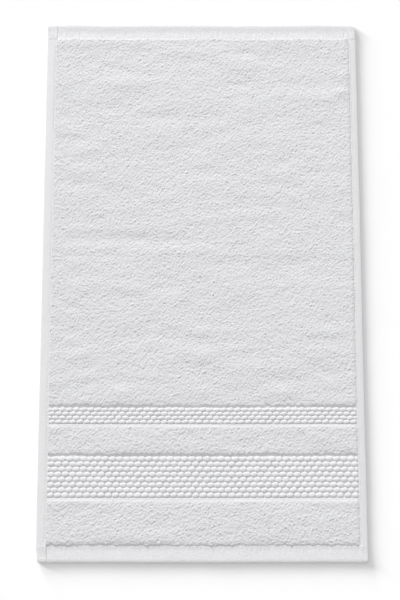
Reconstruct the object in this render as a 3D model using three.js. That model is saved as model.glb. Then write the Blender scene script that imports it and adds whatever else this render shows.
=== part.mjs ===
// A white terry hand towel, lying flat and face up. Millimetres, +Z up.
// The origin is on the underside, at the middle of the towel. X runs across its width, and Y
// along its length, from the end with the two woven bands (-Y) to the plain end (+Y).
//
// The towel is one cloth: terry pile, two bands of raised beads with a plain welt beside each,
// and a folded hem on all four sides. Its underside is flat. Its upper side is a grid of points,
// whose heights come from the zones along the length, the hems along the sides, and the soft
// swells of the cloth. A place on the towel is given as across, from the left edge, and along,
// from the banded end.
import * as THREE from 'three';

// Driving dimensions
const WIDTH = 400;
const LENGTH = 700;
const LEFT_HEM = 11.5;
const RIGHT_HEM = 9.5;
const HEM_HEIGHT = 3.3; // three layers of plain weave
const CORNER_FOLD = 0.35; // what a corner has more, where an end hem is folded over a side hem
const PILE_HEIGHT = 5.0; // terry loops on both faces of the ground weave
const GROOVE_HEIGHT = 2.4; // bare ground weave beside a band
const WELT_FOOT = 3.6; // the welt's height beside the beads
const WELT_HEIGHT = 4.3; // and beside the terry
const BEAD_HEIGHT = 4.4; // the crest of a row of beads
const VALLEY_HEIGHT = 2.9; // between two rows of beads
const RIM_RADIUS = 1.4; // the round of a folded edge
const FOOT_INSET = 1.0; // how far the flat underside lies inside the outline
const STEP_WIDTH = 0.5; // the slope at the inner side of a hem
const PILE_SHOULDER = 2.2; // how far the edge of the pile takes to rise
const FIELD_STEP = 9.5; // spacing of the grid along the terry
const COLUMN_STEP = 19; // spacing of the grid across the terry
const POINTS_PER_BEAD_ROW = 4;
const PULL = 1.5; // how far a seam draws the left corner of the banded end inwards
const PULL_LENGTH = 25;

// The zones along the length, from the banded end. rows is the rows of beads in a band.
const ZONES = [
  { name: 'banded end hem', kind: 'hem', width: 21.4 },
  { name: 'end terry strip', kind: 'pile', width: 51.8 },
  { name: 'wide band welt', kind: 'welt', width: 5.8 },
  { name: 'wide bead band', kind: 'beads', width: 51.0, rows: 8 },
  { name: 'wide band groove', kind: 'groove', width: 3.2 },
  { name: 'middle terry strip', kind: 'pile', width: 31.2 },
  { name: 'narrow band welt', kind: 'welt', width: 5.8 },
  { name: 'narrow bead band', kind: 'beads', width: 20.5, rows: 4 },
  { name: 'narrow band groove', kind: 'groove', width: 2.9 },
  { name: 'terry field', kind: 'pile', width: 485.4 },
  { name: 'plain end hem', kind: 'hem', width: 21.0 },
];

// Soft swells of the terry, placed by hand: the middle of each, half its length and half its
// width, its height (below zero for a trough), and its turn from the X axis in degrees.
const SWELLS = [
  { x: -120, y: 269, length: 70, width: 11, height: 0.7, turn: 4 },
  { x: 103, y: 298, length: 52, width: 10, height: -0.6, turn: 0 },
  { x: 155, y: 250, length: 40, width: 14, height: 0.5, turn: 10 },
  { x: -46, y: 235, length: 42, width: 10, height: 0.5, turn: 3 },
  { x: -158, y: 186, length: 32, width: 10, height: -0.5, turn: -4 },
  { x: 24, y: 175, length: 41, width: 15, height: 0.6, turn: 12 },
  { x: -150, y: 149, length: 38, width: 14, height: 0.5, turn: -10 },
  { x: 152, y: 104, length: 14, width: 11, height: -0.8, turn: 15 },
  { x: -105, y: 59, length: 66, width: 12, height: -0.8, turn: -6 },
  { x: 116, y: 24, length: 43, width: 11, height: -0.7, turn: 9 },
  { x: 44, y: 2, length: 57, width: 15, height: 0.6, turn: 3 },
  { x: -32, y: -69, length: 140, width: 11, height: -0.6, turn: -1 },
  { x: -145, y: -92, length: 37, width: 12, height: 0.4, turn: 0 },
  { x: -14, y: -94, length: 46, width: 11, height: 0.4, turn: 8 },
  { x: 123, y: -123, length: 56, width: 11, height: -0.7, turn: 5 },
  { x: -110, y: -308, length: 60, width: 12, height: 0.4, turn: 0 },
  { x: 90, y: -300, length: 80, width: 12, height: 0.3, turn: 2 },
];

// How each edge wanders inside a straight line: depth, length of the wander, and its phase.
const EDGES = {
  left: [{ depth: 0.2, length: 290, phase: 1.2 }, { depth: 0.1, length: 105, phase: 0.3 }],
  right: [{ depth: 0.25, length: 340, phase: 3.0 }, { depth: 0.15, length: 120, phase: 5.2 }],
  bandedEnd: [{ depth: 0.3, length: 310, phase: 0.8 }, { depth: 0.15, length: 90, phase: 2.2 }],
  plainEnd: [{ depth: 0.6, length: 170, phase: 4.4 }, { depth: 0.3, length: 75, phase: 1.0 }],
};

// The corners, each with the signs of its x and y.
const CORNERS = [
  { x: -1, y: -1, radius: 2.5 },
  { x: 1, y: -1, radius: 2.5 },
  { x: -1, y: 1, radius: 2.5 },
  { x: 1, y: 1, radius: 7.0 },
];

const TURN = 2 * Math.PI;
const clamp = (value, low, high) => Math.min(high, Math.max(low, value));

// From 0 to 1, with level ends, as t goes from 0 to 1.
function ease(t) {
  const s = clamp(t, 0, 1);
  return s * s * (3 - 2 * s);
}

// Evenly spaced places, both ends among them.
function spread(count, from, to) {
  return Array.from({ length: count + 1 }, (_, k) => from + ((to - from) * k) / count);
}

// Sorted places, with those dropped that lie nearly on the one before.
function distinct(places) {
  const sorted = [...places].sort((a, b) => a - b);
  return sorted.filter((place, k) => k === 0 || place - sorted[k - 1] > 0.05);
}

// The zones with the place where each starts and ends.
function placedZones() {
  let start = 0;
  return ZONES.map((zone) => {
    const placed = { ...zone, start, end: start + zone.width };
    start = placed.end;
    return placed;
  });
}
const zones = placedZones();

// Where the grid has its lines beside an outer edge, inwards from the edge.
const EDGE_LINES = [0, 0.3 * RIM_RADIUS, RIM_RADIUS, 2.5 * RIM_RADIUS];

// Where the grid has its rows in a zone.
function rowsOf({ kind, start, end, width, rows }) {
  if (kind === 'beads') return spread(POINTS_PER_BEAD_ROW * rows, start, end);
  if (kind === 'welt') return [start + 0.4, start + width / 2, end - 0.4];
  if (kind === 'groove') return [start + 0.4, end - 0.4];
  if (kind === 'pile') {
    const inner = spread(Math.ceil(width / FIELD_STEP), start + PILE_SHOULDER, end - PILE_SHOULDER);
    return [start, start + PILE_SHOULDER / 2, ...inner, end - PILE_SHOULDER / 2, end];
  }
  if (start === 0) return [...EDGE_LINES, width / 2, end - 5, end - STEP_WIDTH];
  return [
    start + STEP_WIDTH, ...spread(3, start + width / 4, start + 0.7 * width),
    ...EDGE_LINES.map((line) => end - line),
  ];
}

// Where the grid has its columns.
function columnPlaces() {
  const right = WIDTH - RIGHT_HEM;
  const first = LEFT_HEM + PILE_SHOULDER;
  const last = right - PILE_SHOULDER;
  return distinct([
    ...EDGE_LINES, 0.6 * LEFT_HEM, LEFT_HEM - STEP_WIDTH, LEFT_HEM, LEFT_HEM + PILE_SHOULDER / 2,
    ...spread(Math.round((last - first) / COLUMN_STEP), first, last),
    right - PILE_SHOULDER / 2, right, right + STEP_WIDTH, ...EDGE_LINES.map((line) => WIDTH - line),
  ]);
}

// How far an edge lies inside its straight line.
function wander(edge, place) {
  return edge.reduce(
    (sum, { depth, length, phase }) =>
      sum + depth * (0.5 + 0.5 * Math.sin((TURN * place) / length + phase)), 0);
}

// The height that the swells add: a soft round hump for each, longer than it is wide.
function swell(across, along) {
  const toHem = Math.min(across - LEFT_HEM, WIDTH - RIGHT_HEM - across, along - 21, LENGTH - 21 - along);
  const sum = SWELLS.reduce((total, { x, y, length, width, height, turn }) => {
    const angle = THREE.MathUtils.degToRad(turn);
    const dx = across - WIDTH / 2 - x;
    const dy = along - LENGTH / 2 - y;
    const u = (dx * Math.cos(angle) + dy * Math.sin(angle)) / length;
    const v = (dy * Math.cos(angle) - dx * Math.sin(angle)) / width;
    return total + height * Math.exp(-u * u - v * v);
  }, 0);
  return sum * ease(toHem / 15);
}

// The height of an end hem. The plain one has a roll at its outer edge, then a dip at its seam, and
// climbs to the terry; the banded one lies almost level.
function endHemHeight(along) {
  const inside = Math.min(along, LENGTH - along);
  if (along < LENGTH / 2) return HEM_HEIGHT + 0.15 * ease(inside / 6) + 0.3 * ease((inside - 15) / 6);
  const roll = 0.9 * ease(inside / 4) - 0.9 * ease((inside - 3) / 8);
  return HEM_HEIGHT - 0.2 + roll + 1.2 * ease((inside - 10) / 11);
}

// The height of a side hem. Both fall outwards, the left one in a round and the right one straight.
function sideHemHeight(across) {
  if (across < WIDTH / 2) return HEM_HEIGHT + 0.7 - 1.2 * (1 - across / LEFT_HEM) ** 2;
  return HEM_HEIGHT + 0.8 - 0.9 * (1 - (WIDTH - across) / RIGHT_HEM);
}

// The height of a corner, from its end hem into its side hem.
function cornerHeight(across, along) {
  const inside = Math.min(along, LENGTH - along);
  const end = endHemHeight(along);
  return end + (sideHemHeight(across) - end) * ease((inside - 12) / 9) + CORNER_FOLD;
}

// The height of a zone away from the side hems. The pile rises from the bare weave at its near
// edge, and from the height of a welt at its far edge.
function zoneHeight({ kind, start, end, width, rows }, along) {
  if (kind === 'pile') {
    const near = GROOVE_HEIGHT + (PILE_HEIGHT - GROOVE_HEIGHT) * ease((along - start) / PILE_SHOULDER);
    const far = WELT_HEIGHT + (PILE_HEIGHT - WELT_HEIGHT) * ease((end - along) / PILE_SHOULDER);
    return Math.min(near, far);
  }
  if (kind === 'welt') return WELT_FOOT + (WELT_HEIGHT - WELT_FOOT) * ease((end - along) / width);
  if (kind === 'groove') return GROOVE_HEIGHT;
  if (kind === 'hem') return endHemHeight(along);
  const crest = 0.5 - 0.5 * Math.cos((TURN * rows * (along - start)) / width);
  return VALLEY_HEIGHT + (BEAD_HEIGHT - VALLEY_HEIGHT) * crest;
}

// The share of the full height at a distance inside the outline, on the round of the edge.
function rim(inside) {
  const t = clamp(inside / RIM_RADIUS, 0, 1);
  return 0.5 + 0.5 * Math.sqrt(1 - (1 - t) * (1 - t));
}

// The height of the upper side.
function height(across, along) {
  const zone = zones.find(({ end }) => along <= end) ?? zones[zones.length - 1];
  const intoField = Math.min(across - LEFT_HEM, WIDTH - RIGHT_HEM - across);
  let level = zoneHeight(zone, along);
  if (intoField < 0) level = zone.kind === 'hem' ? cornerHeight(across, along) : sideHemHeight(across);
  else if (zone.kind === 'pile') {
    level = GROOVE_HEIGHT + (level - GROOVE_HEIGHT) * ease(0.25 + (0.75 * intoField) / PILE_SHOULDER);
  }
  const inside = Math.min(across, WIDTH - across, along, LENGTH - along);
  return (level + swell(across, along)) * rim(inside);
}

// Carries the square at a corner onto a quarter disc, along lines through the disc's middle.
function roundCorner(point) {
  const { radius } = CORNERS.find(({ x, y }) => x * point.x >= 0 && y * point.y >= 0);
  const fromX = Math.abs(point.x) - (WIDTH / 2 - radius);
  const fromY = Math.abs(point.y) - (LENGTH / 2 - radius);
  if (fromX <= 0 || fromY <= 0) return point;
  const scale = Math.max(fromX, fromY) / Math.hypot(fromX, fromY);
  point.x = Math.sign(point.x) * (WIDTH / 2 - radius + fromX * scale);
  point.y = Math.sign(point.y) * (LENGTH / 2 - radius + fromY * scale);
  return point;
}

// A point of the upper side, with the edges' wander shared out across the cloth.
function upperPoint(across, along) {
  const u = across / WIDTH;
  const v = along / LENGTH;
  const z = height(across, along);
  const point = roundCorner(new THREE.Vector3(across - WIDTH / 2, along - LENGTH / 2, z));
  const left = wander(EDGES.left, along) + PULL * (1 - ease(along / PULL_LENGTH));
  point.x += (1 - u) * left - u * wander(EDGES.right, along);
  point.y += (1 - v) * wander(EDGES.bandedEnd, across) - v * wander(EDGES.plainEnd, across);
  return point;
}

// The closed surface: the upper grid, the rim below its edge, and the flat underside.
function towelGeometry() {
  const columns = columnPlaces();
  const rows = distinct(zones.flatMap(rowsOf));
  const n = columns.length;
  const m = rows.length;
  const points = rows.flatMap((along) => columns.map((across) => upperPoint(across, along)));
  const upper = (i, j) => j * n + i;
  const triangles = [];
  const quad = (a, b, c, d) => triangles.push(a, b, c, a, c, d);
  for (let j = 0; j < m - 1; j++) {
    for (let i = 0; i < n - 1; i++) {
      quad(upper(i, j), upper(i + 1, j), upper(i + 1, j + 1), upper(i, j + 1));
    }
  }

  // The rim: a foot point on the floor for each edge point of the grid, and faces between them
  const footOf = new Map();
  const foot = (i, j) => footOf.get(upper(i, j));
  const edge = [
    ...spread(n - 1, 0, n - 1).map((i) => upper(i, 0)),
    ...spread(m - 2, 1, m - 1).map((j) => upper(n - 1, j)),
    ...spread(n - 2, n - 2, 0).map((i) => upper(i, m - 1)),
    ...spread(m - 3, m - 2, 1).map((j) => upper(0, j)),
  ];
  for (const index of edge) {
    const { x, y } = points[index];
    footOf.set(index, points.length);
    points.push(new THREE.Vector3(
      x * (1 - (2 * FOOT_INSET) / WIDTH), y * (1 - (2 * FOOT_INSET) / LENGTH), 0));
  }
  edge.forEach((index, k) => {
    const next = edge[(k + 1) % edge.length];
    quad(footOf.get(index), footOf.get(next), next, index);
  });

  // The underside: strips across the towel between the end hems, and a fan under each end hem
  const near = rows.findIndex((along) => along > zones[0].end - STEP_WIDTH);
  const far = rows.findIndex((along) => along > zones[zones.length - 1].start);
  for (let j = near; j < far; j++) quad(foot(0, j), foot(0, j + 1), foot(n - 1, j + 1), foot(n - 1, j));
  const fan = (loop, y) => {
    const middle = points.length;
    points.push(new THREE.Vector3(0, y, 0));
    loop.forEach((corner, k) => triangles.push(middle, loop[(k + 1) % loop.length], corner));
  };
  fan([
    ...spread(near, near, 0).map((j) => foot(0, j)),
    ...spread(n - 2, 1, n - 1).map((i) => foot(i, 0)),
    ...spread(near - 1, 1, near).map((j) => foot(n - 1, j)),
  ], -LENGTH / 2 + zones[0].width / 2);
  fan([
    ...spread(m - 1 - far, far, m - 1).map((j) => foot(n - 1, j)),
    ...spread(n - 2, n - 2, 0).map((i) => foot(i, m - 1)),
    ...spread(m - 2 - far, m - 2, far).map((j) => foot(0, j)),
  ], LENGTH / 2 - zones[zones.length - 1].width / 2);

  const geometry = new THREE.BufferGeometry().setFromPoints(points);
  geometry.setIndex(triangles);
  geometry.computeVertexNormals();
  return geometry;
}

const whiteCotton = new THREE.MeshStandardMaterial({ color: 0xe0e0e2, roughness: 0.95, metalness: 0 });

const towel = new THREE.Mesh(towelGeometry(), whiteCotton);
towel.name = 'towel';

const part = new THREE.Group();
part.add(towel);
export default part;
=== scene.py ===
# %% [markdown]
# # A white terry hand towel
#
# A hand towel is woven as one strip of cloth. The loom holds one set of long yarns tight and
# feeds a second set slack, so that the slack yarns stand up in loops on both faces: that is
# terry. Where the loom pulls the slack yarns tight again, the cloth lies lower, and there the
# maker weaves decorative bands, here with rows of raised beads and a smooth rib, the welt.
# Last, all four sides are folded over and stitched.
#
# A flat image of cloth would look right only from straight above. Here the loops, beads and
# stitches are real surfaces, so light rakes across them from any side.
#
# The plain solid of the towel is loaded as a fixed frame, and every size below is either read
# from it or is one of the weaver's own sizes, in millimetres.

# %% The frame
import math

import bpy
import numpy as np
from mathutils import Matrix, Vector


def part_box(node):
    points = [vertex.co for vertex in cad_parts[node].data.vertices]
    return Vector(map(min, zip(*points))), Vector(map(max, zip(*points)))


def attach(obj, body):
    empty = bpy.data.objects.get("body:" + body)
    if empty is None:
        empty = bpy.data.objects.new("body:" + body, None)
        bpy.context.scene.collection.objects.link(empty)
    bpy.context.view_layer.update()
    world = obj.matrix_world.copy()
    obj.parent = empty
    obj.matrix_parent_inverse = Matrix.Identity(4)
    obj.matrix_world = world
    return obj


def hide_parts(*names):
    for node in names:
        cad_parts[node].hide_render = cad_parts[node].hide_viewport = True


MM = 0.001
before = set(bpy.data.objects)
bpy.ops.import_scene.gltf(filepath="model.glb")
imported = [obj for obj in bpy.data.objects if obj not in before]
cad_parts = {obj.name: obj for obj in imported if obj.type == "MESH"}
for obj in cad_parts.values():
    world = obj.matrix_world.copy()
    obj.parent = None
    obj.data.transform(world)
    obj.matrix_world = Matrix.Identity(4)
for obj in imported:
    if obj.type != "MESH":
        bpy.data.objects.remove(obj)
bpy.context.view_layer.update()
low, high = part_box("towel")
WIDTH = round((high.x - low.x) / MM)
LENGTH = round((high.y - low.y) / MM)
print(f"towel of {WIDTH} by {LENGTH} mm, {(high.z - low.z) / MM:.1f} mm thick")

# %% [markdown]
# ## The zones of the weave
#
# Seen along its length, the towel is a row of zones: hem, terry, band, terry, band, terry, hem.
# One table holds their depths, from the end with the bands, and everything else asks it where a
# zone starts and ends. The heights are those of the cloth as it lies: the ground weave floats
# between the loops of its two faces, and the hems lie on the table.

# %% The zones
from collections import namedtuple

Zone = namedtuple("Zone", "name kind depth bead_rows")
ZONES = [
    Zone("banded_hem", "hem", 21.4, 0),
    Zone("end_strip", "terry", 51.8, 0),
    Zone("wide_welt", "welt", 5.8, 0),
    Zone("wide_band", "beads", 51.0, 8),
    Zone("wide_groove", "groove", 3.2, 0),
    Zone("middle_strip", "terry", 31.2, 0),
    Zone("narrow_welt", "welt", 5.8, 0),
    Zone("narrow_band", "beads", 20.5, 4),
    Zone("narrow_groove", "groove", 2.9, 0),
    Zone("field", "terry", 485.4, 0),
    Zone("plain_hem", "hem", 21.0, 0),
]
ends = np.cumsum([zone.depth for zone in ZONES])
START = {zone.name: end - zone.depth - LENGTH / 2 for zone, end in zip(ZONES, ends)}
END = {zone.name: end - LENGTH / 2 for zone, end in zip(ZONES, ends)}

END_HEM = 21
LEFT_HEM = 11.5
RIGHT_HEM = 9.5
LEFT = LEFT_HEM - WIDTH / 2
RIGHT = WIDTH / 2 - RIGHT_HEM

HEM_TOP = 3.3
GROUND_TOP = 2.6
GROUND_BOTTOM = 1.7
BAND_TOP = 2.5
BAND_BOTTOM = 0.5
WELT_FOOT = 3.85
WELT_TOP = 4.15
PILE_TOP = 5.0
print("zones from the banded end:", ", ".join(f"{z.name} {START[z.name]:.0f}" for z in ZONES))

# %% [markdown]
# ## Soft hands, not a ruler
#
# No cloth lies quite flat or straight. Three small sets of irregularities are shared by every
# piece, so that loops, beads and stitches move with the cloth they belong to: broad swells that
# lift and lower the terry, a slight wander of the four edges, and random hills for everything
# that is merely uneven.

# %% The swells
# A swell: its middle, its half length and half width, its height, and its turn from X in degrees
Swell = namedtuple("Swell", "x y length width height turn")
SWELLS = [
    Swell(-120, 269, 70, 11, 0.7, 4),
    Swell(103, 298, 52, 10, -0.6, 0),
    Swell(155, 250, 40, 14, 0.5, 10),
    Swell(-46, 235, 42, 10, 0.5, 3),
    Swell(-158, 186, 32, 10, -0.5, -4),
    Swell(24, 175, 41, 15, 0.6, 12),
    Swell(-150, 149, 38, 14, 0.5, -10),
    Swell(152, 104, 14, 11, -0.8, 15),
    Swell(-105, 59, 66, 12, -0.8, -6),
    Swell(116, 24, 43, 11, -0.7, 9),
    Swell(44, 2, 57, 15, 0.2, 3),
    Swell(-32, -69, 140, 11, -0.6, -1),
    Swell(-145, -92, 37, 12, 0.4, 0),
    Swell(-14, -94, 46, 11, 0.4, 8),
    Swell(123, -123, 56, 11, -0.7, 5),
    Swell(-110, -308, 60, 12, 0.4, 0),
    Swell(90, -300, 80, 12, 0.3, 2),
]
SWELL_FADE = 15


def ease(t):
    """A step from 0 to 1 with level ends: three t squared minus two t cubed."""
    t = np.clip(t, 0, 1)
    return t * t * (3 - 2 * t)


def swell(x, y):
    """The sum of the swells, each its height times e to minus the squared distance from its
    middle, measured in its own half length and half width, and faded out beside the hems."""
    total = np.zeros(np.broadcast(x, y).shape)
    for s in SWELLS:
        turn = math.radians(s.turn)
        u = ((x - s.x) * math.cos(turn) + (y - s.y) * math.sin(turn)) / s.length
        v = ((y - s.y) * math.cos(turn) - (x - s.x) * math.sin(turn)) / s.width
        total = total + s.height * np.exp(-u * u - v * v)
    to_side = np.minimum(x - LEFT, RIGHT - x)
    to_end = LENGTH / 2 - END_HEM - np.abs(y)
    return total * ease(np.minimum(to_side, to_end) / SWELL_FADE)


heights = [s.height for s in SWELLS]
print(f"{len(SWELLS)} swells, from {min(heights)} to {max(heights)} mm")

# %% The four edges
# Each edge's wander inside its straight line: depth, wavelength and phase of two waves
EDGES = {
    "left": [(0.2, 290, 1.2), (0.1, 105, 0.3)],
    "right": [(0.25, 340, 3.0), (0.15, 120, 5.2)],
    "banded": [(0.3, 310, 0.8), (0.15, 90, 2.2)],
    "plain": [(0.6, 170, 4.4), (0.3, 75, 1.0)],
}
PULL = 1.5
PULL_LENGTH = 25


def wander(edge, place):
    """The sum of an edge's waves, each from 0 to its depth."""
    return sum(depth * (0.5 + 0.5 * np.sin(2 * np.pi * place / length + phase))
               for depth, length, phase in EDGES[edge])


def laid(points):
    """Points moved inwards with the four edges: in full at an edge, and less and less towards the
    edge across from it. A tight seam draws the left corner of the banded end in by PULL more."""
    x, y, z = points[..., 0], points[..., 1], points[..., 2]
    u, v = x / WIDTH + 0.5, y / LENGTH + 0.5
    across, along = x + WIDTH / 2, y + LENGTH / 2
    left = wander("left", along) + PULL * (1 - ease(along / PULL_LENGTH))
    moved_x = x + (1 - u) * left - u * wander("right", along)
    moved_y = y + (1 - v) * wander("banded", across) - v * wander("plain", across)
    return np.stack([moved_x, moved_y, z], axis=-1)


# %% Random hills
SPARE_CELLS = 10


def hills(rng, x, y, cell, cell_y=None):
    """Random heights on a lattice, of mean 0 and spread 1, joined by an eased blend of the four
    around each point. Spare cells on every side serve points beyond the towel."""
    cell_y = cell_y or cell
    spare = 2 * SPARE_CELLS + 4
    lattice = rng.standard_normal((int(LENGTH / cell_y) + spare, int(WIDTH / cell) + spare))
    u = (x + WIDTH / 2) / cell + SPARE_CELLS
    v = (y + LENGTH / 2) / cell_y + SPARE_CELLS
    i, j = np.floor(u).astype(int), np.floor(v).astype(int)
    s, t = ease(u - i), ease(v - j)
    near = lattice[j, i] * (1 - s) + lattice[j, i + 1] * s
    far = lattice[j + 1, i] * (1 - s) + lattice[j + 1, i + 1] * s
    return near * (1 - t) + far * t


# %% [markdown]
# ## From arrays to meshes
#
# Every surface below is a whole array of points, worked out at once with numpy. Blender's
# foreach_set copies such an array straight into a mesh, which is far quicker than adding one
# vertex at a time. Three helpers are enough: one makes the piece, one numbers the faces of a
# grid, and one numbers the points round its rim.

# %% Mesh helpers
def make_piece(name, points, *face_sets, normals=None):
    """A smooth mesh of points in mm and of sets of faces, each an array with a row for a face.
    Pieces cut from one surface are given its own normals, so that the cut can't be seen."""
    corners = np.concatenate([faces.ravel() for faces in face_sets])
    sizes = np.concatenate([np.full(len(faces), faces.shape[1]) for faces in face_sets])
    mesh = bpy.data.meshes.new(name)
    mesh.vertices.add(len(points))
    mesh.vertices.foreach_set("co", (points * MM).astype(np.float32).ravel())
    mesh.loops.add(len(corners))
    mesh.loops.foreach_set("vertex_index", corners.astype(np.int32))
    mesh.polygons.add(len(sizes))
    mesh.polygons.foreach_set("loop_start", (np.cumsum(sizes) - sizes).astype(np.int32))
    mesh.polygons.foreach_set("use_smooth", np.ones(len(sizes), bool))
    mesh.update(calc_edges=True)
    if normals is not None:
        held = mesh.attributes.new("custom_normal", "FLOAT_VECTOR", "POINT")
        held.data.foreach_set("vector", normals.astype(np.float32).ravel())
    made = bpy.data.objects.new(name, mesh)
    bpy.context.scene.collection.objects.link(made)
    print(f"{name}: {len(points)} points, {int((sizes - 2).sum())} triangles")
    return made


def grid_faces(rows, columns):
    """Four corners for each cell of a grid numbered row by row, anticlockwise from above."""
    corner = np.arange(rows * columns).reshape(rows, columns)
    cells = [corner[:-1, :-1], corner[:-1, 1:], corner[1:, 1:], corner[1:, :-1]]
    return np.stack(cells, axis=-1).reshape(-1, 4)


def rim_of(rows, columns):
    """The numbers of a grid's outer points, once round, anticlockwise from above."""
    corner = np.arange(rows * columns).reshape(rows, columns)
    return np.concatenate([corner[0, :-1], corner[:-1, -1], corner[-1, :0:-1], corner[:0:-1, 0]])


# %% [markdown]
# ## The cloth
#
# The cloth is a thin slab: an upper and a lower surface on one grid, joined round the rim. It
# shows as itself at the hems, where it is folded into three layers and pressed flat, in the
# grooves and welts, and between the beads. Under the terry it is only the ground that loops
# stand on.
#
# It could be a subdivided plane with a Solidify modifier, but then the hems, which are thicker
# than the ground, would need a second mesh. A height for each face at every point says it all
# in one formula, and puts fine grid lines only where something happens.

# %% The corners
# A corner: its sides, the radius it is rounded to, and the width and step of its folded block
Corner = namedtuple("Corner", "side end radius block step")
CORNERS = [
    Corner(-1, -1, 2.5, 11.7, 1.6),
    Corner(1, -1, 2.5, 10.4, 0.9),
    Corner(-1, 1, 2.5, 12.8, 1.5),
    Corner(1, 1, 7.5, 9.0, 0.7),
]
# A block's length and its height over the end hem. The puff at its fold and the depth of the
# crease beside it are shares of its step.
BLOCK_LENGTH = END_HEM + 0.5
BLOCK_TOP = 0.3
PUFF = 0.4
PUFF_WIDTH = 2.2
CREASE_DEPTH = 0.65
CREASE_WIDTH = 3


def folded_corner(x, y):
    """What a corner adds: the end hem lies folded over the side hem there, so that it steps up
    at its block's width, out of a crease. Returns that, and 1 inside a block."""
    from_end = LENGTH / 2 - np.abs(y)
    added = np.zeros(np.broadcast(x, y).shape)
    block = np.zeros(added.shape)
    for c in CORNERS:
        inside = c.block - (WIDTH / 2 - c.side * x)
        here = (c.end * y > 0) * ease((BLOCK_LENGTH - from_end) / 1.5)
        share = ease((inside + 0.5) / 1.0)
        puffed = BLOCK_TOP + PUFF * c.step * np.exp(-(inside / PUFF_WIDTH) ** 2)
        crease = -CREASE_DEPTH * c.step * np.exp(-np.abs(inside) / CREASE_WIDTH)
        added += here * (puffed * share + crease * (1 - share))
        block += here * share
    return added, block


def rounded(points):
    """Each corner's square carried onto a quarter disc: a point keeps its direction from the
    disc's middle, and the larger of its two offsets from there becomes its distance."""
    points = points.copy()
    for c in CORNERS:
        middle_x, middle_y = WIDTH / 2 - c.radius, LENGTH / 2 - c.radius
        u = c.side * points[..., 0] - middle_x
        v = c.end * points[..., 1] - middle_y
        inside = (u > 0) & (v > 0)
        scale = np.maximum(u, v) / np.maximum(np.hypot(u, v), 1e-9)
        points[..., 0] = np.where(inside, c.side * (middle_x + u * scale), points[..., 0])
        points[..., 1] = np.where(inside, c.end * (middle_y + v * scale), points[..., 1])
    return points


# %% The cloth's grid lines
# Where lines lie close, in mm: in from a folded edge, in from a side hem's inner line, out from
# the inner line of a corner's block, and from an end hem's inner line towards its edge
EDGE_LINES = [0, 0.15, 0.45, 0.9, 1.5, 2.4, 3.6, 5, 6.5, 8]
SIDE_LINES = np.array([-2.6, -2, -1.4, -0.7, 0, 0.5, 0.95, 1.3, 2.5])
BLOCK_LINES = [-1.8, -0.6, -0.1, 0.3, 0.6, 1.2, 2]
END_LINES = [-1.5, -1.1, -0.4, 0.4, 1.2, 2.4, 4, 5.5, 6.5, 7.2, 8, 9, 10.5, 12]
FIELD_STEP = 4.0
TERRY_STEP = 6
LEAST_GAP = 0.05


def lines_beside(edge, inwards):
    """Grid lines from an outer edge over its round and across a hem."""
    return [edge + inwards * d for d in EDGE_LINES]


def distinct(lines):
    """The lines in order, without those that lie all but on the one before."""
    lines = np.unique(np.round(lines, 3))
    return lines[np.insert(np.diff(lines) > LEAST_GAP, 0, True)]


def cloth_columns():
    """Grid lines along the towel, close at the side hems and the creases of the corners."""
    half = WIDTH / 2
    hems = lines_beside(-half, 1) + lines_beside(half, -1)
    steps = [*(LEFT + SIDE_LINES), *(RIGHT - SIDE_LINES)]
    creases = [c.side * (half - c.block + d) for c in CORNERS for d in BLOCK_LINES]
    field = np.arange(LEFT + 5, RIGHT - 4, FIELD_STEP)
    return distinct(np.concatenate([hems, steps, creases, field]))


def cloth_rows():
    """Grid lines across the towel, close at the end hems, the welts and the rows of beads."""
    half = LENGTH / 2
    lines = lines_beside(-half, 1) + lines_beside(half, -1)
    for z in ZONES:
        start, end = START[z.name], END[z.name]
        if z.kind == "hem":
            inner, outwards = (end, -1) if start < 0 else (start, 1)
            lines += [inner + outwards * d for d in END_LINES]
        elif z.kind == "terry":
            lines += list(np.linspace(start, end, int(z.depth / TERRY_STEP) + 3))
        elif z.kind == "beads":
            lines += list(np.linspace(start, end, 4 * z.bead_rows + 1))
        else:
            lines += list(np.linspace(start, end, 9))
    return distinct(lines)


# %% The hems
# How far a hem reaches over the ground beside it, and where its seams run: an end seam is
# measured from the edge, and a side seam from the hem's inner line
TUCK = 1.0
END_STITCH = 20.4
SIDE_STITCH = 1.7
STITCH_LENGTH = 3.0
SEAM_DEPTH = 0.45
SEAM_WIDTH = 1.1


def climb(distance, start, run, height):
    """An eased climb by a height, from a starting distance and over a run."""
    return height * ease((distance - start) / run)


def seam_dip(distance, place):
    """A trough where thread pulls the hem down, a little deeper at every stitch."""
    pull = 0.75 + 0.25 * np.cos(2 * np.pi * place / STITCH_LENGTH)
    return SEAM_DEPTH * pull * np.exp(-(distance / SEAM_WIDTH) ** 2)


def end_hem_shape(y, from_end, block):
    """The plain end's hem rolls down and, between its corners, climbs again to the terry. The
    banded end's falls slowly from its edge and climbs to the terry too."""
    plain = climb(from_end, 0, 4.2, 0.75) - climb(from_end, 2.5, 10, 0.75) - 0.1
    plain = plain + climb(from_end, 12, 11, 0.75) * (1 - block)
    banded = climb(from_end, 0, 4, 0.65) - 0.06 * from_end + climb(from_end, 15, 6, 0.6)
    return np.where(y > 0, plain, banded)


def side_hem_shape(x, from_left, from_right):
    """The left hem is round: it falls with the square of the way out. The right one slopes down
    to its edge, more steeply at the end, and dips where the terry leans on its inner line."""
    out = np.clip(1 - from_left / LEFT_HEM, 0, 1)
    left = 0.7 - 1.2 * out ** 2
    out = np.clip(1 - from_right / RIGHT_HEM, 0, 1)
    dip = 1.3 * np.exp(-((RIGHT_HEM - from_right - 0.2) / 1.2) ** 2)
    right = 1.2 - 1.3 * out - 0.6 * out ** 4 - dip
    return np.where(x < 0, left, right)


# %% The cloth's two faces
FOLD_ROUND = 1.8
FOLD_GAP = 0.3
ROW_WAVE = 0.15
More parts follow.
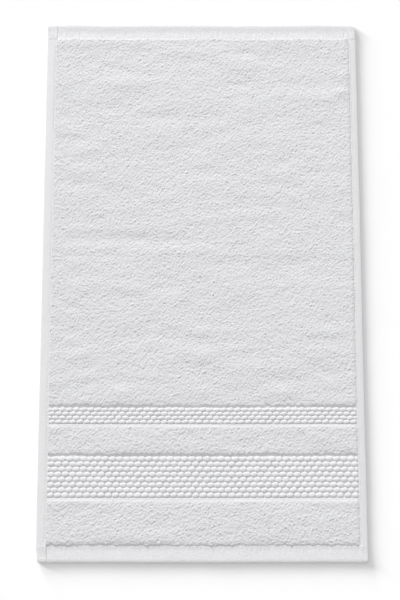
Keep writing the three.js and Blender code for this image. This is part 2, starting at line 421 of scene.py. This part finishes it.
# The share of the swells that the ground rides on, and the hems' own hills: height and cell
GROUND_SHARE = 0.5
HEM_HILLS = [(0.10, 14), (0.05, 5)]


def woven_zones(y, lift):
    """Both faces between the hems. The ground rides on a share of the swells, each row of beads
    has its own shallow wave, and a welt falls from its top to its foot beside the beads."""
    upper = np.full(y.shape, GROUND_TOP) + lift
    lower = np.full(y.shape, GROUND_BOTTOM) + lift
    for z in ZONES:
        inside = (y >= START[z.name] - 1e-6) & (y <= END[z.name] + 1e-6)
        t = (y - START[z.name]) / z.depth
        if z.kind == "beads":
            height = BAND_TOP - ROW_WAVE * np.cos(2 * np.pi * z.bead_rows * t)
        elif z.kind == "welt":
            height = WELT_FOOT + (WELT_TOP - WELT_FOOT) * ease(1 - t) ** 1.6
        elif z.kind == "groove":
            height = BAND_TOP
        else:
            continue
        upper = np.where(inside, height, upper)
        lower = np.where(inside, BAND_BOTTOM, lower)
    return upper, lower


def folded_edge(upper, lower, edge):
    """Both faces rounded off to meet near mid height, by the height of a quarter circle."""
    height = np.sqrt(1 - (1 - np.clip(edge / FOLD_ROUND, 0, 1)) ** 2)
    middle = 0.5 * HEM_TOP
    rounded_upper = middle + FOLD_GAP + (upper - middle - FOLD_GAP) * height
    rounded_lower = (middle - FOLD_GAP) * (1 - height)
    near = edge < FOLD_ROUND
    return np.where(near, rounded_upper, upper), np.where(near, rounded_lower, lower)


def cloth_faces(x, y):
    """Heights of the cloth's upper and lower face: the zones, the side hems over them, the end
    hems over both with a blend where they cross, and the corners and folded edges last."""
    rng = np.random.default_rng(11)
    from_end = LENGTH / 2 - np.abs(y)
    from_left, from_right = x + WIDTH / 2, WIDTH / 2 - x
    upper, lower = woven_zones(y, GROUND_SHARE * swell(x, y))

    hem = HEM_TOP + sum(height * hills(rng, x, y, cell) for height, cell in HEM_HILLS)
    corner, block = folded_corner(x, y)
    end_hem = hem + end_hem_shape(y, from_end, block)
    side = np.maximum(LEFT_HEM - from_left, RIGHT_HEM - from_right) + TUCK
    side_hem = hem + side_hem_shape(x, from_left, from_right)
    side_hem = side_hem - seam_dip(side - SIDE_STITCH - TUCK, y)

    in_side, in_end = side > 0.01, from_end < END_HEM + 0.2 + TUCK
    upper = np.where(in_end, end_hem, np.where(in_side, side_hem, upper))
    blend = ease((from_end - 4) / 18) * ease(side / TUCK)
    upper = np.where(in_end & in_side, end_hem + (side_hem - end_hem) * blend, upper)
    upper = np.where(in_end, upper + corner, upper)
    lower = np.where(in_end | in_side, 0.0, lower)
    edge = np.minimum(np.minimum(from_left, from_right), from_end)
    return folded_edge(upper, lower, edge)


# %% The slab
def make_cloth():
    """Both faces on one grid, the lower one turned over, and a band of faces round the rim."""
    columns, rows = cloth_columns(), cloth_rows()
    x, y = np.meshgrid(columns, rows)
    upper, lower = cloth_faces(x, y)
    faces = [laid(rounded(np.stack([x, y, z], axis=-1))).reshape(-1, 3) for z in (upper, lower)]
    cells = grid_faces(len(rows), len(columns))
    rim = rim_of(len(rows), len(columns))
    under = x.size
    after = np.roll(rim, -1)
    band = np.stack([rim + under, after + under, after, rim], axis=-1)
    return make_piece("towel_cloth", np.concatenate(faces), cells, cells[:, ::-1] + under, band)


cloth = make_cloth()

# %% [markdown]
# ## Terry loops
#
# A terry loop is a short arc of soft yarn, about a millimetre thick. It stands up from the
# ground, falls over to one side and curls, so the face of a towel is a jumble of small bows.
# Nearly a hundred thousand separate tubes would be too many, and noise alone never looks like
# yarn. So each loop is drawn into a height map: points are set along its arc, and the map keeps
# the highest yarn over each cell. The map is then the upper face of a thin mat.
#
# The arc is part of a circle, so its points have a short formula, and numpy's maximum.at
# stamps all the loops at once.

# %% The loops
LOOP_PITCH_X = 1.4
LOOP_PITCH_Y = 1.6
LOOP_JITTER = 0.5
LOOP_LENGTHS = 1.4, 5.2
# The largest bend of a loop from root to root, in radians, and the spread of its rise
LOOP_BEND = 2.6
LOOP_SPREAD = 0.3
# The way that loops lie, in radians from X: what they share, how far that swings from patch to
# patch, and how far it differs from loop to loop
HEADING = 0.1
SWING = 0.7
SWING_PATCH = 10
SCATTER = 1.2
Loops = namedtuple("Loops", "x y heading bend length top")


def loops_over(rng, x0, x1, y0, y1):
    """Loops rooted on the weave's lattice, with every number a little off for each."""
    across = np.arange(x0 + 0.5, x1 - 0.4, LOOP_PITCH_X)
    along = np.arange(y0 + 0.5, y1 - 0.4, LOOP_PITCH_Y)
    x, y = (a.ravel() for a in np.meshgrid(across, along))
    n = x.size
    x = np.clip(x + rng.normal(0, LOOP_JITTER, n), x0 + 0.2, x1 - 0.2)
    y = np.clip(y + rng.normal(0, LOOP_JITTER, n), y0 + 0.2, y1 - 0.2)
    return Loops(
        x, y,
        heading=HEADING + SWING * hills(rng, x, y, SWING_PATCH) + rng.normal(0, SCATTER, n),
        bend=rng.uniform(-LOOP_BEND, LOOP_BEND, n),
        length=rng.uniform(*LOOP_LENGTHS, n),
        top=rng.normal(0, LOOP_SPREAD, n),
    )


def arc_points(loops, t):
    """Points at share t of each arc, and their share of the loop's rise. The heading turns evenly
    by bend, so the path is a circle of radius length over bend, and the rise is a blunted half
    wave of a sine."""
    turn = loops.heading + loops.bend * (t - 0.5)
    start = loops.heading - 0.5 * loops.bend
    bend = np.where(np.abs(loops.bend) < 0.05, 0.05, loops.bend)
    over_x = (np.sin(turn) - np.sin(start)) / bend
    over_y = (np.cos(turn) - np.cos(start)) / bend
    x = loops.x + loops.length * (over_x - 0.45 * np.cos(loops.heading))
    y = loops.y - loops.length * (over_y + 0.45 * np.sin(loops.heading))
    return x, y, np.sin(np.pi * (0.08 + 0.84 * t)) ** 0.8


# %% The height map
YARN_RADIUS = 0.6
YARN_REACH = 1.5 * YARN_RADIUS
CELL = 0.85
ARC_POINTS = 9


def stamp(loops, x0, y0, body, rise):
    """The highest yarn over each cell: for points along every arc and the cells around each,
    the yarn's round back is the body of the pile, plus the loop's rise, less a circle's drop."""
    height = body.copy()
    rows, columns = body.shape
    for t in np.linspace(0, 1, ARC_POINTS):
        px, py, share = arc_points(loops, t)
        i0, j0 = np.rint((px - x0) / CELL).astype(int), np.rint((py - y0) / CELL).astype(int)
        crown = rise * (1 + loops.top) * share
        for di in (-1, 0, 1):
            for dj in (-1, 0, 1):
                i, j = i0 + di, j0 + dj
                gap = np.hypot(i * CELL + x0 - px, j * CELL + y0 - py) / YARN_REACH
                on = (gap < 1) & (i >= 0) & (j >= 0) & (i < columns) & (j < rows)
                back = crown[on] + YARN_RADIUS * (np.sqrt(1 - gap[on] ** 2) - 1)
                i, j = i[on], j[on]
                np.maximum.at(height, (j, i), body[j, i] + back)
    return height


# %% A mat's upper face
# A mat: its zone, the pieces it is cut into, how far it reaches past its zone at the far edge,
# the run in which its near edge rolls up, the share of that edge that leans back further, the
# run in which its loops fade in from the far edge, and how high they rise
Mat = namedtuple("Mat", "zone pieces over roll lean fade rise")
MATS = [
    Mat("end_strip", 1, 2.4, 2.8, 0.35, 4.5, 0.85),
    Mat("middle_strip", 1, 3.0, 1.8, 0.25, 3.5, 0.86),
    Mat("field", 3, 0, 1.8, 0.25, 2.0, 0.79),
]
MAT_MARGIN = 3.4
LEAN_RUN = 7
OVERHANG = 1.7
LOOP_RISE = 0.75
SUNK = GROUND_TOP - 0.6
# Clumps of the pile: their height, and their lattice's cells along X and Y
CLUMPS = [(0.08, 7, 5), (0.20, 20, 11), (0.28, 50, 15)]


def mat_edges(mat, x, y, y0, y1, uneven):
    """The share of the pile's body that stands at a point, as a product of four edges. The pile
    hangs over its near edge and rolls up from there, and on the right it climbs in two stages."""
    left = ease((x - LEFT + 0.4 * uneven + 0.5) / 1.0)
    right = 0.5 * ease((RIGHT - x + 0.4 * uneven + 1.2) / 1.6) + 0.5 * ease((RIGHT - x + 1) / 5)
    near = (1 - mat.lean) * ease((y - y0 + uneven + OVERHANG) / mat.roll)
    near = near + mat.lean * ease((y - y0 + OVERHANG) / LEAN_RUN)
    far = ease((y1 - y + 1.6) / 1.6)
    return left * right * near * far


def terry_map(mat, seed):
    """Points of the loops' upper surface over one zone and a margin round it: a body that starts
    inside the cloth, the loops upon it, and clumps and swells that move both."""
    rng = np.random.default_rng(seed)
    y0, y1 = START[mat.zone], END[mat.zone] + mat.over
    left, near = LEFT - MAT_MARGIN, y0 - MAT_MARGIN
    columns = np.arange(left, RIGHT + MAT_MARGIN, CELL)
    rows = np.arange(near, y1 + MAT_MARGIN, CELL)
    x, y = np.meshgrid(columns, rows)
    loops = loops_over(rng, LEFT, RIGHT, y0 - 1, y1)
    edges = mat_edges(mat, x, y, y0, y1, 0.8 * hills(rng, x, y, 3.0))
    body = SUNK + (PILE_TOP - LOOP_RISE - SUNK) * edges
    clump = sum(height * hills(rng, x, y, *cells) for height, *cells in CLUMPS)
    rise = mat.rise * ease((y1 + 1 - loops.y) / mat.fade)
    z = stamp(loops, left, near, body, rise) + clump * edges + swell(x, y)
    z[[0, -1], :] = SUNK
    z[:, [0, -1]] = SUNK
    print(f"{mat.zone}: {loops.x.size} loops")
    return laid(np.stack([x, y, z], axis=-1))


# %% The mats
def normals_of(top):
    """The upward direction square to the surface at every point: the cross product of its
    steps along the rows and along the columns."""
    along, across = np.gradient(top, axis=(0, 1))
    square = np.cross(across, along)
    return square / np.linalg.norm(square, axis=-1, keepdims=True)


def terry_mat(name, top, normals):
    """A closed mat: the map above, a short wall round it, and one flat face inside the cloth."""
    rim = rim_of(*top.shape[:2])
    points, normals = top.reshape(-1, 3), normals.reshape(-1, 3)
    below = points[rim] * [1, 1, 0] + [0, 0, SUNK - 0.3]
    ring = len(points) + np.arange(len(rim))
    wall = np.stack([ring, np.roll(ring, -1), np.roll(rim, -1), rim], axis=-1)
    return make_piece(
        name, np.concatenate([points, below]), grid_faces(*top.shape[:2]), wall, ring[None, ::-1],
        normals=np.concatenate([normals, normals[rim]]))


front_pile = []
for seed, mat in enumerate(MATS, start=100):
    top = terry_map(mat, seed)
    normals = normals_of(top)
    cuts = np.linspace(0, len(top) - 1, mat.pieces + 1).astype(int)
    for k, (a, b) in enumerate(zip(cuts, cuts[1:]), start=1):
        piece = terry_mat(f"terry_{mat.zone}_{k}", top[a:b + 1], normals[a:b + 1])
        front_pile.append(piece)

# %% [markdown]
# ## Woven beads
#
# In the two bands the slack yarns are woven into short floats that puff up like grains of
# rice, laid like bricks: each row is shifted by half a bead. A bead is a small closed pillow of
# under a hundred faces. It is worked out once, then copied by numpy to every place in a band,
# with its own size and tilt, so that a band is one mesh.

# %% A pillow, and copies of it
PLAN_POWER = 0.8
TOP_POWER = 0.7


def blunt(wave, power):
    """A sine or a cosine drawn towards 1 or -1: its size to a power, with its own sign."""
    return np.sign(wave) * np.abs(wave) ** power


def pillow(sides, tiers):
    """A unit pillow: a ball whose sines and cosines are blunted, so that it is flatter on top
    and squarer in plan. Returns its points and faces, triangles at the poles and quads."""
    around = 2 * np.pi * np.arange(sides) / sides
    rise = np.pi * (np.arange(1, tiers) / tiers - 0.5)
    out = blunt(np.cos(rise), PLAN_POWER)[:, None]
    x, y = out * blunt(np.cos(around), PLAN_POWER), out * blunt(np.sin(around), PLAN_POWER)
    z = blunt(np.sin(rise), TOP_POWER)[:, None] + 0 * around
    rings = np.stack([x, y, z], axis=-1).reshape(-1, 3)
    points = np.concatenate([[[0, 0, -1]], rings, [[0, 0, 1]]])
    first = 1 + np.arange(sides)
    last = first + sides * (tiers - 2)
    caps = np.concatenate([
        np.stack([np.zeros_like(first), np.roll(first, -1), first], axis=-1),
        np.stack([np.full_like(last, len(points) - 1), last, np.roll(last, -1)], axis=-1)])
    walls = np.concatenate([
        np.stack([a, np.roll(a, -1), np.roll(a, -1) + sides, a + sides], axis=-1)
        for a in (first + sides * k for k in range(tiers - 2))])
    return points, caps, walls


def scatter(name, shape, places, sizes, turns):
    """Copies of one shape, each stretched, turned about Z and set in place, as one mesh."""
    points, *face_sets = shape
    cos, sin = np.cos(turns)[:, None], np.sin(turns)[:, None]
    scaled = points[None] * sizes[:, None]
    x = scaled[..., 0] * cos - scaled[..., 1] * sin
    y = scaled[..., 0] * sin + scaled[..., 1] * cos
    copies = np.stack([x, y, scaled[..., 2]], axis=-1) + laid(places)[:, None]
    offsets = len(points) * np.arange(len(places))[:, None, None]
    faces = [(f[None] + offsets).reshape(-1, f.shape[1]) for f in face_sets]
    return make_piece(name, copies.reshape(-1, 3), *faces)


# %% The beads
# A bead's stretch along its row, across it and upwards, and how far each of them varies
BEAD_STRETCH = 1.03, 0.92, 2.1
BEAD_SPREAD = 0.04, 0.05, 0.06
# The height of its middle, its drift along the row, and its turn from X in radians
BEAD_MIDDLE = BAND_TOP + 0.15
BEAD_DRIFT = 0.35
DRIFT_PATCH = 23
BEAD_TURN = 0.15


def bead_places(zone, pitch, beads_across):
    """Middles and half sizes of beads laid like bricks: every second row is shifted by half a
    bead, and a bead of half the length fills it up at each side."""
    row_depth = zone.depth / zone.bead_rows
    places, sizes = [], []
    for row in range(zone.bead_rows):
        shifted = row % 2
        x = LEFT + pitch * (np.arange(beads_across + shifted) + 0.5 * (1 - shifted))
        half = np.full(x.size, 0.5 * pitch)
        if shifted:
            x[[0, -1]] += [0.25 * pitch, -0.25 * pitch]
            half[[0, -1]] = 0.25 * pitch
        y = np.full(x.size, START[zone.name] + row_depth * (row + 0.5))
        deep = np.full(x.size, 0.5 * row_depth)
        places.append(np.stack([x, y, np.zeros(x.size)], axis=-1))
        sizes.append(np.stack([half, deep, np.ones(x.size)], axis=-1))
    return np.concatenate(places), np.concatenate(sizes)


def bead_band(name, seed, beads_across):
    """One band's beads, a little out of place, size and turn. The half beads at its sides don't
    drift along it, so that they stay beside their hems."""
    rng = np.random.default_rng(seed)
    zone = next(z for z in ZONES if z.name == name)
    pitch = (RIGHT - LEFT) / beads_across
    places, sizes = bead_places(zone, pitch, beads_across)
    n = len(places)
    drift = BEAD_DRIFT * hills(rng, places[:, 0], places[:, 1], DRIFT_PATCH)
    places[:, 0] += np.where(sizes[:, 0] > 0.3 * pitch, drift, 0)
    places[:, 1] += rng.normal(0, 0.12, n)
    places[:, 2] = BEAD_MIDDLE + rng.normal(0, 0.08, n)
    sizes *= np.array(BEAD_STRETCH) * rng.normal(1, BEAD_SPREAD, (n, 3))
    print(f"{name}: {n} beads, {pitch:.2f} mm apart")
    return scatter(f"{name}_beads", pillow(14, 7), places, sizes, rng.normal(BEAD_TURN, 0.06, n))


wide_beads = bead_band("wide_band", 21, 43)
narrow_beads = bead_band("narrow_band", 22, 44)

# %% [markdown]
# ## Hem stitching
#
# The hems are held by lockstitch: a line of short raised threads, each a slim pillow that
# dips at both ends where the needle went in. They run along all four hems, and the line of the
# end hems crosses the corners.

# %% The stitches
STITCH_SIZE = 1.1, 0.5, 0.55
END_SUNK = 0.45
SIDE_SUNK = -0.1


def stitch_line(start, end, sunk):
    """The middles and the turn of stitches laid end to end between two points, sunk so far into
    the cloth."""
    start, end = np.array(start, float), np.array(end, float)
    run = end - start
    count = int(np.hypot(*run) / STITCH_LENGTH)
    share = (np.arange(count) + 0.5) / count
    x, y = (start + share[:, None] * run).T
    places = np.stack([x, y, cloth_faces(x, y)[0] - sunk], axis=-1)
    return places, np.full(count, math.atan2(run[1], run[0]))


def make_stitches():
    """Two seams from side to side, 2 mm inside the edges, and two that stop short of them."""
    half, far = WIDTH / 2 - 2, LENGTH / 2 - END_STITCH
    lines = [stitch_line((-half, y), (half, y), END_SUNK) for y in (-far, far)]
    for x in (LEFT - SIDE_STITCH, RIGHT + SIDE_STITCH):
        lines.append(stitch_line((x, 9 - far), (x, far - 9), SIDE_SUNK))
    rng = np.random.default_rng(31)
    places = np.concatenate([middles for middles, _ in lines])
    turns = np.concatenate([turn for _, turn in lines]) + rng.normal(0, 0.05, len(places))
    sizes = np.array(STITCH_SIZE) * rng.normal(1, 0.08, (len(places), 3))
    print(f"{len(places)} stitches")
    return scatter("hem_stitches", pillow(8, 5), places, sizes, turns)


stitches = make_stitches()

# %% [markdown]
# ## White cotton
#
# Cotton is matt and lets a little light wander inside it, so its shadows are soft. Principled
# BSDF gives that with a high roughness, a weak specular and a touch of sheen, which stands for
# the fuzz. What makes cloth of it is the bump: fine fibres on the loops, and a plain weave of
# crossing threads on the hems. Both read Object coordinates, which are metres here.
#
# Node networks are easier to read as sums, so one small class lets sockets be added and
# multiplied as numbers are.

# %% A small shader language
class Signal:
    """A number that varies over the surface: a socket that answers to arithmetic."""

    def __init__(self, recipe, socket):
        self.recipe, self.socket = recipe, socket

    def maths(self, operation, first, second=0.0, **settings):
        return self.recipe.node(
            "ShaderNodeMath", {"operation": operation, **settings}, {0: first, 1: second})

    def __add__(self, other):
        return self.maths("ADD", self, other)

    def __mul__(self, other):
        return self.maths("MULTIPLY", self, other)

    def __sub__(self, other):
        return self.maths("SUBTRACT", self, other)

    def __rsub__(self, other):
        return self.maths("SUBTRACT", other, self)

    __radd__, __rmul__ = __add__, __mul__

    def sine(self):
        return self.maths("SINE", self)

    def size(self):
        return self.maths("ABSOLUTE", self)

    def within(self, low, high):
        """From 0 where the number is low to 1 where it is high, and no further."""
        return self.maths("MULTIPLY", self - low, 1 / (high - low), use_clamp=True)


class Recipe:
    """A material in the making, ending in one Principled BSDF."""

    def __init__(self, name):
        self.material = bpy.data.materials.new(name)
        self.material.use_nodes = True
        self.tree = self.material.node_tree
        self.shader = self.tree.nodes["Principled BSDF"]

    def fill(self, node, sockets):
        for key, value in sockets.items():
            if isinstance(value, Signal):
                self.tree.links.new(value.socket, node.inputs[key])
            else:
                node.inputs[key].default_value = value

    def node(self, kind, settings, sockets, output=0):
        """Any node: its type, its settings, then the values or links of its sockets."""
        node = self.tree.nodes.new(kind)
        for key, value in settings.items():
            setattr(node, key, value)
        self.fill(node, sockets)
        return Signal(self, node.outputs[output])

    def finish(self, sockets):
        self.fill(self.shader, sockets)
        return self.material


# %% What all the finishes share
COTTON = {
    "Roughness": 0.92, "Specular IOR Level": 0.15, "Sheen Weight": 0.12, "Sheen Roughness": 0.5}


def fuzz(recipe, size):
    """Noise of about that many millimetres between its lumps, from 0 to 1."""
    place = recipe.node("ShaderNodeTexCoord", {}, {}, "Object")
    sockets = {"Vector": place, "Scale": 1 / (size * MM), "Detail": 3.0}
    return recipe.node("ShaderNodeTexNoise", {}, sockets, "Fac")


def tint(recipe, size, shade, light):
    """Soft patches of two greys, with that many millimetres between them."""
    sockets = {"Factor": fuzz(recipe, size), 6: (*shade, 1), 7: (*light, 1)}
    return recipe.node("ShaderNodeMix", {"data_type": "RGBA"}, sockets, 2)


def finish_cotton(recipe, colour, height, depth):
    """Ends a cotton with its colour and a bump: a height, and the millimetres that 1 stands for."""
    bump = recipe.node(
        "ShaderNodeBump", {}, {"Strength": 1.0, "Distance": depth * MM, "Height": height})
    return recipe.finish({**COTTON, "Base Color": colour, "Normal": bump})


# %% The cottons
THREAD = 0.9
STRAND = 0.8
PLEAT, PLEAT_LENGTH = 2.6, 20
PLEATS_START = LENGTH / 2 - 24
PLEATS_END = LENGTH / 2 - 2


def terry_cotton():
    """Loose yarn: soft lumps of fibre, and patches of a slightly greyer white."""
    recipe = Recipe("terry_cotton")
    colour = tint(recipe, 3.0, (0.73, 0.73, 0.745), (0.785, 0.785, 0.797))
    return finish_cotton(recipe, colour, fuzz(recipe, 0.9), 0.35)


def woven_cotton():
    """Plain weave: the product of two waves, one along each set of threads, and uneven yarn.
    An end hem is also drawn into short pleats that start at the terry and fade out towards the
    edge: noise that is stretched along the towel."""
    recipe = Recipe("woven_cotton")
    place = recipe.node("ShaderNodeTexCoord", {}, {}, "Object")
    parts = [recipe.node("ShaderNodeSeparateXYZ", {}, {"Vector": place}, axis) for axis in "XY"]
    threads = [(part * (2 * math.pi / (THREAD * MM))).sine() for part in parts]
    weave = 0.3 * threads[0] * threads[1] + 5.0 * fuzz(recipe, 1.3)

    stretch = (1 / (PLEAT * MM), 1 / (PLEAT_LENGTH * MM), 1.0)
    stretched = recipe.node("ShaderNodeMapping", {}, {"Vector": place, "Scale": stretch})
    pleats = recipe.node(
        "ShaderNodeTexNoise", {}, {"Vector": stretched, "Scale": 1.0, "Detail": 1.0}, "Fac")
    from_middle = parts[1].size() * (1 / MM)
    begun = from_middle.within(PLEATS_START, PLEATS_START + 2)
    lasting = from_middle.within(PLEATS_END, PLEATS_END - 14)
    height = weave + 8 * (pleats - 0.5) * (begun * lasting)
    colour = tint(recipe, 6.0, (0.822, 0.822, 0.837), (0.872, 0.872, 0.884))
    return finish_cotton(recipe, colour, height, 0.2)


def bead_cotton():
    """Floats of soft yarn that lie side by side along each bead."""
    recipe = Recipe("bead_cotton")
    place = recipe.node("ShaderNodeTexCoord", {}, {}, "Object")
    across = recipe.node("ShaderNodeSeparateXYZ", {}, {"Vector": place}, "Y")
    strands = (across * (2 * math.pi / (STRAND * MM)) + 3 * fuzz(recipe, 2.0)).sine()
    colour = tint(recipe, 4.0, (0.875, 0.875, 0.89), (0.915, 0.915, 0.925))
    return finish_cotton(recipe, colour, strands + fuzz(recipe, 0.5), 0.08)


terry, woven, bead = terry_cotton(), woven_cotton(), bead_cotton()
finishes = [(cloth, woven), (wide_beads, bead), (narrow_beads, bead), (stitches, woven)]
finishes += [(piece, terry) for piece in front_pile]
for piece, cotton in finishes:
    piece.data.materials.append(cotton)
    print(f"{piece.name}: {cotton.name}")

# %% [markdown]
# ## Fastening the pieces to the frame
#
# Every piece rides on the towel's one body and lies on the table, and the towel's plain solid is
# hidden.

# %% The frame's table
dressing = [*front_pile, wide_beads, narrow_beads, stitches]
for made in [cloth, *dressing]:
    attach(made, "root")
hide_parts("towel")
print(f"{1 + len(dressing)} pieces ride on the towel's body")

# %% [markdown]
# ## Table, light and camera
#
# The towel lies on a white table. It is lit from beyond its far end and a little to the left,
# low enough to show the loops, by a sun with a wide disc, which gives the same soft light all
# over. A square lamp on that side adds light that fades along the towel, and an even white sky
# fills the rest.
#
# Light linking says which pieces a light reaches. The table has suns of its own, so that the
# soft shadow on it, to the near right, can be shaped without a change to the towel. The camera
# looks from a little in front of straight above, through a long lens.

# %% The table
TABLE_METRES = 12.0


def make_table():
    """One large square under the towel, in a white that hardly varies."""
    half = TABLE_METRES / 2 / MM
    corners = np.array([[-half, -half, 0], [half, -half, 0], [half, half, 0], [-half, half, 0]])
    table = make_piece("table", corners, np.array([[0, 1, 2, 3]]))
    recipe = Recipe("white_table")
    colour = tint(recipe, 400.0, (0.925, 0.925, 0.925), (0.93, 0.93, 0.93))
    table.data.materials.append(recipe.finish({
        "Base Color": colour, "Roughness": 0.9, "Specular IOR Level": 0.0}))
    return table


table = make_table()

# %% The light
def hang(light, receivers):
    """Puts a light into the scene, to light some pieces only."""
    made = bpy.data.objects.new(light.name, light)
    bpy.context.scene.collection.objects.link(made)
    lit = bpy.data.collections.new(light.name + "_lights")
    for piece in receivers:
        lit.objects.link(piece)
    made.light_linking.receiver_collection = lit
    print(f"{light.name}: lights {len(receivers)} pieces")
    return made


def soft_sun(name, receivers, azimuth, elevation, disc, strength):
    """A sun with a wide disc, so many degrees left of the far end and above the table."""
    sun = bpy.data.lights.new(name, "SUN")
    sun.energy = strength
    sun.angle = math.radians(disc)
    made = hang(sun, receivers)
    made.rotation_euler = (math.radians(elevation - 90), 0, math.radians(azimuth))


def window(name, receivers, place, size, watts):
    """A square lamp facing the towel's middle, which makes the end nearer to it the brighter."""
    lamp = bpy.data.lights.new(name, "AREA")
    lamp.size = size
    lamp.energy = watts
    made = hang(lamp, receivers)
    made.location = place
    made.rotation_euler = Vector(place).to_track_quat("Z", "Y").to_euler()


towel = [cloth, *dressing]
soft_sun("towel_key", towel, azimuth=14, elevation=30, disc=14, strength=2.1)
window("towel_window", towel, place=(-0.35, 1.6, 0.9), size=1.0, watts=4.8)
soft_sun("table_low_1", [table], azimuth=26, elevation=9, disc=10, strength=2.6)
soft_sun("table_low_2", [table], azimuth=58, elevation=9, disc=10, strength=2.6)
soft_sun("table_middle", [table], azimuth=50, elevation=14, disc=18, strength=2.0)
soft_sun("table_high", [table], azimuth=42, elevation=45, disc=68, strength=0.28)

# %% The sky
SKY_STRENGTH = 0.60
world = bpy.data.worlds.new("sky")
world.use_nodes = True
sky = world.node_tree.nodes["Background"].inputs
sky["Color"].default_value = (1, 1, 1, 1)
sky["Strength"].default_value = SKY_STRENGTH
bpy.context.scene.world = world
bpy.context.scene.view_settings.view_transform = "Standard"

# %% The camera
CAMERA_TILT = 15.46
CAMERA_DISTANCE = 2.3121
CAMERA_LENS = 111.06
AIM_X = -2.3 * MM
AIM_Y = -21.5 * MM

lens = bpy.data.cameras.new("camera")
lens.lens = CAMERA_LENS
lens.sensor_width = 36.0
lens.clip_end = 50.0
camera = bpy.data.objects.new("camera", lens)
tilt = math.radians(CAMERA_TILT)
camera.rotation_euler = (tilt, 0, 0)
camera.location = (
    AIM_X, AIM_Y - CAMERA_DISTANCE * math.sin(tilt), CAMERA_DISTANCE * math.cos(tilt))
bpy.context.scene.collection.objects.link(camera)
bpy.context.scene.camera = camera
print(f"camera {camera.location.z:.2f} m above the table, through a {lens.lens:.0f} mm lens")
